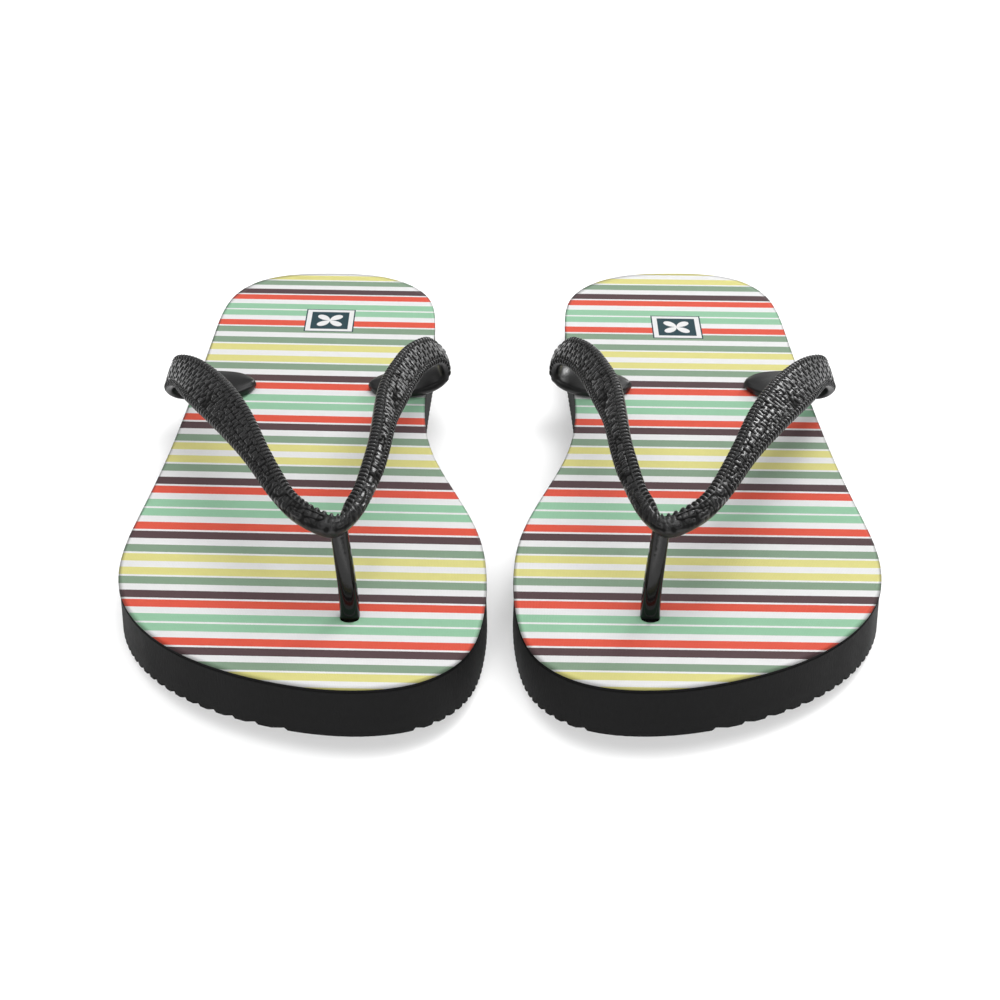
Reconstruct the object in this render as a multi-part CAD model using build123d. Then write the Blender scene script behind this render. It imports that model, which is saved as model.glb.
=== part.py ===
"""A pair of flip flops: ribbed sole, printed cloth top, moulded Y strap and toe post.

Frame: +Z up, the floor at Z = 0, heels towards +Y, toes towards -Y.
The right shoe is at negative X and the left shoe is its mirror image about X = 0.
All sizes are in millimetres.
"""
from build123d import *
import os
from math import asin, cos, degrees, sin, sqrt

# --- sole ---------------------------------------------------------------------------------------
SOLE_THICKNESS = 15.0
CLOTH_THICKNESS = 1.0
OUTSOLE_THICKNESS = 4.0
WALL_FLARE = 0.4            # how far the wall stands out at the floor
HALF_LENGTH = 132.2
HALF_WIDTH = 52.5
SHOE_X = -57.0              # middle of the right shoe
SPRING_START_Y = -17.2      # where the toe starts to lift
SPRING_RADIUS = 906.0       # radius of the lifted stretch, at the tread

# Plan outline of the right footbed, from the heel along the outer side to the toe, then back.
OUTLINE = [
    (-61.5, 132.2), (-75.0, 131.4), (-86.5, 126.9), (-94.5, 117.0), (-98.4, 101.5), (-99.6, 82.0),
    (-100.6, 58.0), (-102.2, 28.0), (-104.2, -2.0), (-107.2, -32.0), (-109.1, -56.0),
    (-106.6, -79.0), (-97.5, -99.0), (-80.5, -116.6), (-60.0, -127.6), (-39.0, -132.2),
    (-21.5, -128.4), (-10.5, -117.0), (-5.2, -97.5), (-4.0, -76.0), (-6.2, -49.5), (-13.2, -25.0),
    (-20.6, -2.5), (-24.5, 21.0), (-24.6, 46.0), (-23.4, 72.0), (-23.3, 96.0), (-26.8, 113.5),
    (-35.6, 124.8), (-47.5, 130.7),
]

# --- tread --------------------------------------------------------------------------------------
RIB_PITCH = 3.1
RIB_CREST = 1.5             # flat width of a rib where it meets the floor
RIB_ROOT = 2.2              # width of a rib at the bottom of its grooves
RIB_DEPTH = 1.0
RIB_FIRST_Y = 130.0         # the first rib, under the heel
RIB_COUNT = 84              # the last ribs stop short of the toe, which stays smooth

# --- strap --------------------------------------------------------------------------------------
STEM_DIAMETER = 7.0
POST_STEM_DIAMETER = 5.0
HEAD_DIAMETER = 16.0
HEAD_THICKNESS = 3.0
HEAD_ROUNDING = 1.0
HEAD_RECESS = 1.0           # how far the heads stay above the floor
FIT_GAP = 0.15              # room all round a stem or a head
TONGUE_THICKNESS = 2.8
POST_BASE = (-41.2, -94.0)
POST_TOP = (-43.6, -87.5, 25.6)
POST_BOTTOM_DIAMETER = 5.6
POST_TOP_DIAMETER = 4.8
REAR_STEMS = [(-88.0, 43.0), (-37.0, 43.5)]

# Each arm of the right strap from the V to the tip of its tongue: where the front edge and the
# back edge of the band run (Z above the footbed), and how thick the band is there.
OUTER_ARM = [
    ((-44.5, -92.2, 26.0), (-43.3, -86.0, 28.3), 4.6),
    ((-51.0, -90.0, 26.3), (-48.8, -84.0, 29.0), 4.6),
    ((-58.5, -82.0, 26.8), (-54.8, -77.5, 29.8), 4.4),
    ((-66.0, -66.5, 26.8), (-61.0, -63.5, 30.3), 4.2),
    ((-73.3, -49.2, 26.2), (-67.3, -45.5, 30.3), 4.0),
    ((-81.2, -32.8, 24.8), (-73.0, -27.8, 29.9), 3.8),
    ((-89.8, -15.2, 22.2), (-80.5, -8.8, 28.3), 3.6),
    ((-97.4, 1.6, 18.4), (-88.3, 8.4, 25.5), 3.4),
    ((-101.4, 13.6, 15.0), (-95.6, 21.8, 22.5), 3.2),
    ((-104.8, 23.6, 11.4), (-102.2, 32.0, 18.4), 3.0),
    ((-107.5, 28.8, 8.0), (-105.2, 38.6, 13.7), 3.0),
    ((-108.0, 31.8, 4.6), (-106.0, 44.0, 8.4), 3.0),
    ((-105.8, 33.6, 2.4), (-104.3, 48.5, 4.2), 3.0),
    ((-100.0, 34.4, 1.8), (-98.5, 51.0, 2.0), 2.9),
    ((-93.0, 34.8, 1.7), (-92.5, 51.0, 1.7), TONGUE_THICKNESS),
    ((-87.3, 35.2, 1.7), (-86.6, 49.6, 1.7), TONGUE_THICKNESS),
    ((-83.6, 38.4, 1.5), (-83.3, 47.6, 1.5), 2.4),
    ((-81.0, 42.2, 1.3), (-81.0, 45.2, 1.3), 1.9),
]
INNER_ARM = [
    ((-43.3, -92.2, 26.0), (-44.5, -86.0, 28.3), 4.6),
    ((-39.9, -87.6, 26.4), (-42.9, -83.0, 29.0), 4.6),
    ((-36.4, -76.9, 26.8), (-41.0, -74.8, 29.8), 4.4),
    ((-33.8, -60.8, 26.8), (-39.0, -59.5, 30.3), 4.2),
    ((-32.3, -43.0, 26.3), (-37.6, -42.0, 30.3), 4.0),
    ((-31.2, -24.0, 24.7), (-37.2, -20.7, 29.4), 3.8),
    ((-28.9, -8.0, 22.5), (-36.4, -3.0, 28.0), 3.6),
    ((-26.7, 8.0, 20.0), (-33.8, 13.0, 26.1), 3.4),
    ((-24.2, 22.0, 17.0), (-30.3, 28.5, 23.6), 3.2),
    ((-21.3, 33.5, 13.8), (-25.8, 40.5, 20.2), 3.0),
    ((-18.6, 39.8, 10.8), (-23.2, 47.2, 15.8), 3.0),
    ((-17.6, 41.8, 7.2), (-19.9, 50.8, 10.4), 3.0),
    ((-18.4, 41.6, 4.1), (-19.3, 53.0, 5.8), 3.0),
    ((-21.2, 40.2, 2.2), (-22.2, 53.4, 2.8), 3.0),
    ((-25.5, 37.5, 1.8), (-27.0, 52.5, 2.0), 2.9),
    ((-33.0, 35.8, 1.7), (-33.3, 50.8, 1.7), TONGUE_THICKNESS),
    ((-38.3, 36.2, 1.7), (-38.8, 48.8, 1.7), TONGUE_THICKNESS),
    ((-41.6, 38.8, 1.5), (-41.9, 46.4, 1.5), 2.4),
    ((-43.7, 41.4, 1.3), (-43.7, 44.0, 1.3), 1.9),
]

BIG = 400.0                 # longer than anything in the model
BEYOND = 150.0              # further from the middle than either end of a shoe


def toe_rise(y):
    """Height that the toe spring adds at y."""
    ahead = max(SPRING_START_Y - y, 0.0)
    return SPRING_RADIUS - sqrt(SPRING_RADIUS**2 - ahead**2)


def toe_tilt(y):
    """Angle in degrees that the toe spring turns the sole by at y."""
    return degrees(asin(max(SPRING_START_Y - y, 0.0) / SPRING_RADIUS))


def spring_point(y, height):
    """Point (y, z) of the bent sole that was at y and height while it was flat."""
    ahead = SPRING_START_Y - y
    if ahead <= 0:
        return (y, height)
    turn = ahead / SPRING_RADIUS
    reach = SPRING_RADIUS - height
    return (SPRING_START_Y - reach * sin(turn), SPRING_RADIUS - reach * cos(turn))


def outline_curve(z, grow):
    """Closed plan outline at height z, made wider and longer by grow all round."""
    wide = 1 + grow / HALF_WIDTH
    long = 1 + grow / HALF_LENGTH
    points = [(SHOE_X + (x - SHOE_X) * wide, y * long, z) for x, y in OUTLINE]
    return Spline(*points, periodic=True)


def outline_prism():
    """Upright block with the shoe's outline and its flared wall, taller than the sole."""
    low, high = -10.0, 40.0
    flare_per_mm = WALL_FLARE / SOLE_THICKNESS
    bottom = Face(Wire([outline_curve(low, (SOLE_THICKNESS - low) * flare_per_mm)]))
    top = Face(Wire([outline_curve(high, (SOLE_THICKNESS - high) * flare_per_mm)]))
    return loft([bottom, top], ruled=True)


def sprung_arc(height):
    """Side view of the lifted stretch at one height of the sole, from its start to past the toe."""
    middle = (SPRING_START_Y - BEYOND) / 2
    start = (SPRING_START_Y, height)
    return Edge.make_three_point_arc(start, spring_point(middle, height), spring_point(-BEYOND, height))


def bent_slab(low, high):
    """Slab between two heights of the sole, flat at the heel and bent up at the toe."""
    profile = Wire([
        Edge.make_line((BEYOND, low), (SPRING_START_Y, low)),
        sprung_arc(low),
        Edge.make_line(spring_point(-BEYOND, low), spring_point(-BEYOND, high)),
        sprung_arc(high),
        Edge.make_line((SPRING_START_Y, high), (BEYOND, high)),
        Edge.make_line((BEYOND, high), (BEYOND, low)),
    ])
    return extrude(Plane.YZ * Face(profile), amount=BIG / 2, both=True)


def tread_slab():
    """The outsole's side profile with its ribs, drawn out across the shoe."""
    points = [(BEYOND, OUTSOLE_THICKNESS), (BEYOND, RIB_DEPTH)]
    for i in range(RIB_COUNT):
        y = RIB_FIRST_Y - i * RIB_PITCH
        for dy, height in ((RIB_ROOT / 2, RIB_DEPTH), (RIB_CREST / 2, 0.0),
                           (-RIB_CREST / 2, 0.0), (-RIB_ROOT / 2, RIB_DEPTH)):
            points.append(spring_point(y + dy, height))
    smooth_start = RIB_FIRST_Y - RIB_COUNT * RIB_PITCH
    points.append(spring_point(smooth_start + RIB_ROOT / 2, RIB_DEPTH))
    points.append(spring_point(smooth_start + RIB_CREST / 2, 0.0))
    points.append(spring_point(-BEYOND, 0.0))
    points.append(spring_point(-BEYOND, OUTSOLE_THICKNESS))
    edges = [Edge.make_line(start, end) for start, end in zip(points, points[1:])]
    edges.append(sprung_arc(OUTSOLE_THICKNESS))
    edges.append(Edge.make_line((SPRING_START_Y, OUTSOLE_THICKNESS), points[0]))
    return extrude(Plane.YZ * Face(Wire(edges)), amount=BIG / 2, both=True)


def stem_place(x, y, height):
    """Location on the bent sole at x, y and the given height, with its Z square to the sole."""
    py, pz = spring_point(y, height)
    return Location((x, py, pz), (-toe_tilt(y), 0, 0))


def stems():
    """Each stem of the right shoe: where it stands and how thick it is."""
    return [(POST_BASE, POST_STEM_DIAMETER)] + [(spot, STEM_DIAMETER) for spot in REAR_STEMS]


def stem_holes():
    """Round holes for the stems, with a wide recess for each head in the tread."""
    holes = []
    for (x, y), diameter in stems():
        place = stem_place(x, y, 0.0)
        hole = Cylinder(diameter / 2 + FIT_GAP, BIG / 4)
        recess = Cylinder(HEAD_DIAMETER / 2 + FIT_GAP, 2 * (HEAD_RECESS + HEAD_THICKNESS + FIT_GAP))
        holes += [place * hole, place * recess]
    return holes


def stem_with_head(spot, diameter, top):
    """Stem from its head in the tread up to the given height, for one hole."""
    head = Pos(0, 0, HEAD_RECESS + HEAD_THICKNESS / 2) * Cylinder(HEAD_DIAMETER / 2, HEAD_THICKNESS)
    head = fillet(head.edges().filter_by(GeomType.CIRCLE), HEAD_ROUNDING)
    length = top - HEAD_RECESS - HEAD_THICKNESS / 2
    stem = Pos(0, 0, top - length / 2) * Cylinder(diameter / 2, length)
    return stem_place(*spot, 0.0) * (head + stem)


def above_footbed(x, y, height):
    """Point at a height above the footbed, which lifts towards the toe."""
    return Vector(x, y, SOLE_THICKNESS + toe_rise(y) + height)


def band_section(front, back, thickness, along):
    """Rounded cross-section of the band between its two edges."""
    across = back - front
    plane = Plane(origin=(front + back) / 2, x_dir=across, z_dir=across.cross(along).cross(across))
    return plane * RectangleRounded(across.length, thickness, thickness * 0.42)


def arm(stations):
    """One arm of the strap, lofted through its cross-sections."""
    fronts = [above_footbed(*front) for front, _, _ in stations]
    backs = [above_footbed(*back) for _, back, _ in stations]
    middles = [(front + back) / 2 for front, back in zip(fronts, backs)]
    path = Spline(*middles)
    sections = []
    for front, back, middle, (_, _, thickness) in zip(fronts, backs, middles, stations):
        along = path.tangent_at(path.param_at_point(middle))
        sections.append(band_section(front, back, thickness, along))
    return loft(sections)


def make_strap():
    """Both arms, the V where they meet, and the two rear stems."""
    strap = arm(OUTER_ARM) + arm(INNER_ARM)
    for spot in REAR_STEMS:
        strap += stem_with_head(spot, STEM_DIAMETER, SOLE_THICKNESS + TONGUE_THICKNESS / 2)
    return strap


def make_post():
    """Toe post from the V down through the sole, with its head."""
    foot = stem_place(*POST_BASE, SOLE_THICKNESS)
    up = Axis(foot).direction
    base = foot.position
    top = above_footbed(*POST_TOP)
    path = Spline(base, top, tangents=[up, Vector(-0.1, 0.25, 1)])
    sections = []
    for t in (0.0, 0.25, 0.5, 0.75, 1.0):
        radius = (POST_BOTTOM_DIAMETER + t * (POST_TOP_DIAMETER - POST_BOTTOM_DIAMETER)) / 2
        sections.append(Plane(origin=path @ t, z_dir=path % t) * Circle(radius))
    return loft(sections) + stem_with_head(POST_BASE, POST_STEM_DIAMETER, SOLE_THICKNESS)


def make_right_shoe():
    """Every piece of the right shoe, by name."""
    prism = outline_prism()
    holes = stem_holes()
    foam_top = SOLE_THICKNESS - CLOTH_THICKNESS
    strap = make_strap()
    post = make_post()
    return {
        "top_cloth": (bent_slab(foam_top, SOLE_THICKNESS) & prism) - holes,
        "midsole": (bent_slab(OUTSOLE_THICKNESS, foam_top) & prism) - holes,
        "outsole": (tread_slab() & prism) - holes,
        "strap": strap - post,
        "toe_post": post,
    }


def main():
    """Write each piece of both shoes to its own file."""
    os.makedirs("parts", exist_ok=True)
    for name, solid in make_right_shoe().items():
        export_step(solid, f"parts/right_{name}.step")
        export_step(mirror(solid, about=Plane.YZ), f"parts/left_{name}.step")


main()
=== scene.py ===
"""A pair of flip flops with a printed cloth top, a black foam sole and a moulded Y strap.

All lengths are in metres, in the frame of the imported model: the floor is Z = 0, heels point to +Y
and toes to -Y. The right shoe stands at negative X; the left shoe is its mirror image.
"""
import logging
import math
from collections.abc import Sequence
from dataclasses import dataclass, field, replace
from enum import Enum

import bpy
import numpy as np
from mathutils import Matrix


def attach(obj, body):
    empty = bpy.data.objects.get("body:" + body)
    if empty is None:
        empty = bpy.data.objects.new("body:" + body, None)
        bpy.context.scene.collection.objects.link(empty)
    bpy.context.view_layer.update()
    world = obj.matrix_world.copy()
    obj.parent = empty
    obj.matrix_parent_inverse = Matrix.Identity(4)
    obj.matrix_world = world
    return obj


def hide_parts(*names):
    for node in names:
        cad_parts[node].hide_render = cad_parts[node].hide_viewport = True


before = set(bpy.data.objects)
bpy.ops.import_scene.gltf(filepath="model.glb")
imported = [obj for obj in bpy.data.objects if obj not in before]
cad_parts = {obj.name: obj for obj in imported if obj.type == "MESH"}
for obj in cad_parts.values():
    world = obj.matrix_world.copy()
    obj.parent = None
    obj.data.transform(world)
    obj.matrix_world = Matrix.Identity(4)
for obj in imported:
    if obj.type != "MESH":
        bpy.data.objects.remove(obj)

LOG = logging.getLogger("flip_flops")
MM = 0.001
PRINT_MAP = "PrintPlace"
RELIEF = "ReliefHeight"

Paint = tuple[float, float, float, float]
Point = tuple[float, float, float]
Station = tuple[Point, Point, float]


class Shoe(Enum):
    """Which shoe of the pair a piece belongs to. The value is its X direction: -1 right, 1 left."""

    RIGHT = -1
    LEFT = 1

    @property
    def prefix(self) -> str:
        """First word of the names of this shoe's pieces."""
        return self.name.lower()

    @property
    def body(self) -> str:
        """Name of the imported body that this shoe's pieces ride on."""
        return f"{self.prefix}_flip_flop"

    def node(self, part: str) -> str:
        """Name of this shoe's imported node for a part."""
        return f"{self.prefix}_{part}"


# --- numbers and curves ---------------------------------------------------------------------------


def linear(red: int, green: int, blue: int) -> Paint:
    """Scene-linear colour of a display colour given as 0 to 255.

    Formula: the display curve undone, x / 12.92 near black and ((x + 0.055) / 1.055) ** 2.4 above.

    Args:
        red: red share.
        green: green share.
        blue: blue share.

    Returns:
        The colour with an alpha of 1.
    """
    values = np.array([red, green, blue]) / 255
    light = np.where(values <= 0.04045, values / 12.92, ((values + 0.055) / 1.055) ** 2.4)
    return (*light.tolist(), 1.0)


def smooth_step(low: float, high: float, value: np.ndarray) -> np.ndarray:
    """0 below low, 1 above high, and 3t^2 - 2t^3 between them."""
    t = np.clip((value - low) / (high - low), 0.0, 1.0)
    return t * t * (3 - 2 * t)


def bump(value: np.ndarray, width: float) -> np.ndarray:
    """Bell shape of height 1 at zero: exp(-(value / width)^2)."""
    return np.exp(-((value / width) ** 2))


def smooth_noise(a: np.ndarray, b: np.ndarray, seed: int) -> np.ndarray:
    """Random heights from -1 to 1 that vary smoothly over the plane (a, b).

    Formula: each whole-number corner has a random height, and a point takes a mix of its four
    corners with weights 3t^2 - 2t^3 of how far it is along each side.

    Args:
        a: first coordinate, in cells.
        b: second coordinate, in cells.
        seed: number that the random heights are drawn from.

    Returns:
        The height at each point.
    """
    size = 256
    heights = np.random.default_rng(seed).uniform(-1, 1, (size, size))
    row, col = np.floor(a).astype(int), np.floor(b).astype(int)
    along, across = smooth_step(0, 1, a - row), smooth_step(0, 1, b - col)
    near, far = (heights[(row + down) % size, col % size] * (1 - across)
                 + heights[(row + down) % size, (col + 1) % size] * across for down in (0, 1))
    return near * (1 - along) + far * along


class SmoothCurve:
    """Curve through given points, with slope and bend continuous at every one of them."""

    def __init__(self, points: np.ndarray, knots: np.ndarray | None = None, closed: bool = False) -> None:
        """Solves the slope at each point.

        Formula: on each span the curve is the cubic with the end points and end slopes of that
        span, and the slopes are those that make the second derivatives of neighbours equal. An
        open curve has no bend at its two ends.

        Args:
            points: one row per point, with any number of columns.
            knots: the parameter at each point, or None for the distance along the chords.
            closed: True where the curve returns to its first point.
        """
        points = np.asarray(points, float)
        if closed:
            points = np.vstack([points, points[:1]])
        if knots is None:
            knots = np.concatenate([[0], np.cumsum(np.linalg.norm(np.diff(points, axis=0), axis=1))])
        self.points, self.knots = points, np.asarray(knots, float)
        self.slopes = self._solve(closed)

    def _solve(self, closed: bool) -> np.ndarray:
        """Slopes at the points, from one linear system.

        Args:
            closed: True where the curve returns to its first point.

        Returns:
            One row of slopes per point.
        """
        count = len(self.points)
        gap = np.diff(self.knots)
        rise = np.diff(self.points, axis=0) / gap[:, None]
        system = np.zeros((count, count))
        wanted = np.zeros_like(self.points)
        inner = np.arange(1, count - 1)
        system[inner, inner - 1] = 1 / gap[:-1]
        system[inner, inner] = 2 / gap[:-1] + 2 / gap[1:]
        system[inner, inner + 1] = 1 / gap[1:]
        wanted[inner] = 3 * (rise[:-1] / gap[:-1, None] + rise[1:] / gap[1:, None])
        if closed:
            system[0, [0, 1]] = 2 / gap[0] + 2 / gap[-1], 1 / gap[0]
            system[0, -2] = 1 / gap[-1]
            wanted[0] = 3 * (rise[0] / gap[0] + rise[-1] / gap[-1])
            system[-1, [0, -1]] = 1, -1
        else:
            system[0, [0, 1]] = 2, 1
            system[-1, [-2, -1]] = 1, 2
            wanted[0], wanted[-1] = 3 * rise[0], 3 * rise[-1]
        return np.linalg.solve(system, wanted)

    def at(self, t: np.ndarray) -> np.ndarray:
        """Points of the curve at parameters t.

        Args:
            t: parameters to look up.

        Returns:
            One row per parameter.
        """
        span = np.clip(np.searchsorted(self.knots, t, side="right") - 1, 0, len(self.knots) - 2)
        gap = (self.knots[span + 1] - self.knots[span])[:, None]
        u = (t - self.knots[span])[:, None] / gap
        start, end = self.points[span], self.points[span + 1]
        out, into = self.slopes[span] * gap, self.slopes[span + 1] * gap
        return (start * (1 + 2 * u) * (1 - u) ** 2 + out * u * (1 - u) ** 2
                + end * u**2 * (3 - 2 * u) - into * u**2 * (1 - u))


def unit(vectors: np.ndarray) -> np.ndarray:
    """The vectors at length 1."""
    return vectors / np.linalg.norm(vectors, axis=-1, keepdims=True)


# --- meshes ---------------------------------------------------------------------------------------


@dataclass
class Surface:
    """Points and faces of a piece before they are put into a mesh.

    print_place is each point's place on the flat cloth, finish_index each face's material, and
    relief each point's height over the plain shape.
    """

    points: np.ndarray
    quads: np.ndarray
    triangles: np.ndarray = field(default_factory=lambda: np.zeros((0, 3), int))
    print_place: np.ndarray | None = None
    finish_index: np.ndarray | None = None
    relief: np.ndarray | None = None

    @staticmethod
    def tube(rings: np.ndarray) -> "Surface":
        """A surface of closed rings one after another, shut by a fan to a middle point at each end.

        Args:
            rings: array of ring, point of the ring, and x y z.

        Returns:
            The closed surface, with the two middle points last.
        """
        count, around = rings.shape[:2]
        row, col = np.arange(count - 1)[:, None], np.arange(around)[None, :]
        after = (col + 1) % around
        quads = np.stack([row * around + col, row * around + after,
                          (row + 1) * around + after, (row + 1) * around + col], axis=-1)
        col, after = col.ravel(), after.ravel()
        first = count * around
        base = first - around
        triangles = np.vstack([np.stack([after, col, np.full(around, first)], 1),
                               np.stack([base + col, base + after, np.full(around, first + 1)], 1)])
        points = np.vstack([rings.reshape(-1, 3), rings[0].mean(0), rings[-1].mean(0)])
        return Surface(points, quads.reshape(-1, 4), triangles)

    @staticmethod
    def joined(parts: Sequence["Surface"]) -> "Surface":
        """Several surfaces as one.

        Args:
            parts: the surfaces, which keep their order.

        Returns:
            One surface, without print place, finish index or relief.
        """
        starts = np.cumsum([0] + [len(part.points) for part in parts[:-1]])
        return Surface(np.vstack([part.points for part in parts]),
                       np.vstack([part.quads + start for part, start in zip(parts, starts)]),
                       np.vstack([part.triangles + start for part, start in zip(parts, starts)]))

    def volume(self) -> float:
        """Signed volume: the sum over the faces of corner . (corner x corner) / 6.

        Returns:
            The volume, negative where the faces point inwards.
        """
        halves = np.vstack([self.quads[:, [0, 1, 2]], self.quads[:, [0, 2, 3]], self.triangles])
        a, b, c = (self.points[halves[:, i]] for i in range(3))
        return float(np.einsum("ij,ij->i", a, np.cross(b, c)).sum() / 6)

    def mirrored(self, shoe: Shoe) -> "Surface":
        """The surface for that shoe: the points given are the right shoe's, and x changes sign."""
        return replace(self, points=self.points * np.array([-shoe.value, 1.0, 1.0]))

    def build(self, name: str, finishes: Sequence[bpy.types.Material]) -> bpy.types.Object:
        """Makes the mesh object, with its faces turned outwards and shaded smooth.

        Args:
            name: the piece's name.
            finishes: its materials, in the order that finish_index counts them.

        Returns:
            The new object, linked to the scene.
        """
        turn = slice(None, None, -1 if self.volume() < 0 else 1)
        quads, triangles = self.quads[:, turn], self.triangles[:, turn]
        corners = np.concatenate([quads.ravel(), triangles.ravel()]).astype(np.int32)
        starts = np.concatenate([np.arange(len(quads)) * 4, len(quads) * 4 + np.arange(len(triangles)) * 3])
        mesh = bpy.data.meshes.new(name)
        mesh.vertices.add(len(self.points))
        mesh.vertices.foreach_set("co", self.points.astype(np.float32).ravel())
        mesh.loops.add(len(corners))
        mesh.loops.foreach_set("vertex_index", corners)
        mesh.polygons.add(len(starts))
        mesh.polygons.foreach_set("loop_start", starts.astype(np.int32))
        if self.finish_index is not None:
            mesh.polygons.foreach_set("material_index", self.finish_index.astype(np.int32))
        mesh.update(calc_edges=True)
        mesh.shade_smooth()
        if self.print_place is not None:
            layer = mesh.uv_layers.new(name=PRINT_MAP)
            layer.uv.foreach_set("vector", self.print_place[corners].astype(np.float32).ravel())
        if self.relief is not None:
            heights = mesh.attributes.new(RELIEF, "FLOAT", "POINT")
            heights.data.foreach_set("value", self.relief.astype(np.float32))
        for finish in finishes:
            mesh.materials.append(finish)
        piece = bpy.data.objects.new(name, mesh)
        bpy.context.scene.collection.objects.link(piece)
        return piece


def lathe(outline: np.ndarray, around: int) -> np.ndarray:
    """Rings of a turned shape about Z.

    Formula: the point (r, z) of the outline becomes the circle (r cos a, r sin a, z).

    Args:
        outline: rows of radius and height, from the bottom end to the top end.
        around: how many points each circle has.

    Returns:
        Array of ring, point of the ring, and x y z.
    """
    angle = np.linspace(0, 2 * np.pi, around, endpoint=False)
    radius, height = outline[:, 0, None], outline[:, 1, None]
    return np.stack([radius * np.cos(angle), radius * np.sin(angle), height + 0 * angle], axis=-1)


# --- shader graphs --------------------------------------------------------------------------------


class Graph:
    """A node tree that is filled by short calls, for a material or for a shared group."""

    def __init__(self, tree: bpy.types.NodeTree) -> None:
        """Starts from an empty tree."""
        self.tree = tree
        self.tree.nodes.clear()

    def add(self, kind: str, **settings: object) -> bpy.types.Node:
        """A node of one kind with its settings.

        Args:
            kind: the node's type.
            settings: properties to set on it.

        Returns:
            The new node.
        """
        node = self.tree.nodes.new(kind)
        for name, value in settings.items():
            setattr(node, name, value)
        return node

    def feed(self, socket: bpy.types.NodeSocket, value: object) -> None:
        """Gives an input a link if the value is an output, or else the plain value.

        Args:
            socket: the input to feed.
            value: an output to link, or a plain value.
        """
        if isinstance(value, bpy.types.NodeSocket):
            self.tree.links.new(value, socket)
        else:
            socket.default_value = value

    def math(self, operation: str, *values: object) -> bpy.types.NodeSocket:
        """Result of a Math node.

        Args:
            operation: the node's operation.
            values: an output or a number for each input.

        Returns:
            The node's output.
        """
        node = self.add("ShaderNodeMath", operation=operation)
        for socket, value in zip(node.inputs, values):
            self.feed(socket, value)
        return node.outputs[0]

    def remap(self, value: object, low: float, high: float, to_low: float, to_high: float,
              smooth: bool = False) -> bpy.types.NodeSocket:
        """Value carried from low..high to to_low..to_high, and held at the ends.

        Args:
            value: the number or output to carry over.
            low: value that gives to_low.
            high: value that gives to_high.
            to_low: result at and below low.
            to_high: result at and above high.
            smooth: True to ease in and out.

        Returns:
            The output with the result.
        """
        node = self.add("ShaderNodeMapRange", interpolation_type="SMOOTHSTEP" if smooth else "LINEAR")
        for socket, given in zip(node.inputs, (value, low, high, to_low, to_high)):
            self.feed(socket, given)
        return node.outputs[0]

    def mix(self, share: object, first: object, second: object, blend: str = "MIX") -> bpy.types.NodeSocket:
        """Mix of two colours.

        Args:
            share: how much of the second colour shows, 0 to 1.
            first: the colour at share 0.
            second: the colour at share 1.
            blend: way of mixing, as the node names it.

        Returns:
            The output with the mixed colour.
        """
        node = self.add("ShaderNodeMix", data_type="RGBA", blend_type=blend)
        for name, value in (("Factor_Float", share), ("A_Color", first), ("B_Color", second)):
            self.feed(next(s for s in node.inputs if s.identifier == name), value)
        return next(s for s in node.outputs if s.identifier == "Result_Color")

    def scaled(self, vector: object, scale: Point) -> bpy.types.NodeSocket:
        """Vector times a scale for each axis.

        Args:
            vector: the output to scale.
            scale: factor for x, y and z.

        Returns:
            The output with the scaled vector.
        """
        node = self.add("ShaderNodeVectorMath", operation="MULTIPLY")
        self.feed(node.inputs[0], vector)
        self.feed(node.inputs[1], scale)
        return node.outputs[0]

    def noise(self, vector: object, scale: float, detail: float = 2.0) -> bpy.types.NodeSocket:
        """Noise about 0.5 with so many lumps to the unit.

        Args:
            vector: place to read the noise at.
            scale: lumps to the unit.
            detail: how many finer layers it has.

        Returns:
            The output with the noise.
        """
        node = self.add("ShaderNodeTexNoise")
        self.feed(node.inputs["Vector"], vector)
        node.inputs["Scale"].default_value = scale
        node.inputs["Detail"].default_value = detail
        return node.outputs["Fac"]

    def object_place(self) -> bpy.types.NodeSocket:
        """Place on the piece in metres."""
        return self.add("ShaderNodeTexCoord").outputs["Object"]

    def bumped(self, height: object, distance: float, strength: float = 1.0) -> bpy.types.NodeSocket:
        """Normal of a relief that is distance metres high where height is 1.

        Args:
            height: output with the height.
            distance: height in metres where it is 1.
            strength: share of the relief that shows.

        Returns:
            The output with the normal.
        """
        node = self.add("ShaderNodeBump")
        node.inputs["Strength"].default_value = strength
        node.inputs["Distance"].default_value = distance
        self.feed(node.inputs["Height"], height)
        return node.outputs["Normal"]


def shared_group(name: str, inputs: dict[str, str], outputs: dict[str, str]) -> tuple[Graph, dict, dict]:
    """Starts a shader node group.

    Args:
        name: the group's name.
        inputs: each input's name and socket type.
        outputs: each output's name and socket type.

    Returns:
        The graph to fill, its input sockets by name, and the sockets to feed by output name.
    """
    tree = bpy.data.node_groups.new(name, "ShaderNodeTree")
    for label, kind in inputs.items():
        tree.interface.new_socket(name=label, in_out="INPUT", socket_type=kind)
    for label, kind in outputs.items():
        tree.interface.new_socket(name=label, in_out="OUTPUT", socket_type=kind)
    graph = Graph(tree)
    into = graph.add("NodeGroupInput").outputs
    out = graph.add("NodeGroupOutput").inputs
    return graph, {label: into[label] for label in inputs}, {label: out[label] for label in outputs}


FLOAT, VECTOR = "NodeSocketFloat", "NodeSocketVector"
GRAIN_TONE = (0.35, 0.65)  # the tones between which most of the rubber grain lies


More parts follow.
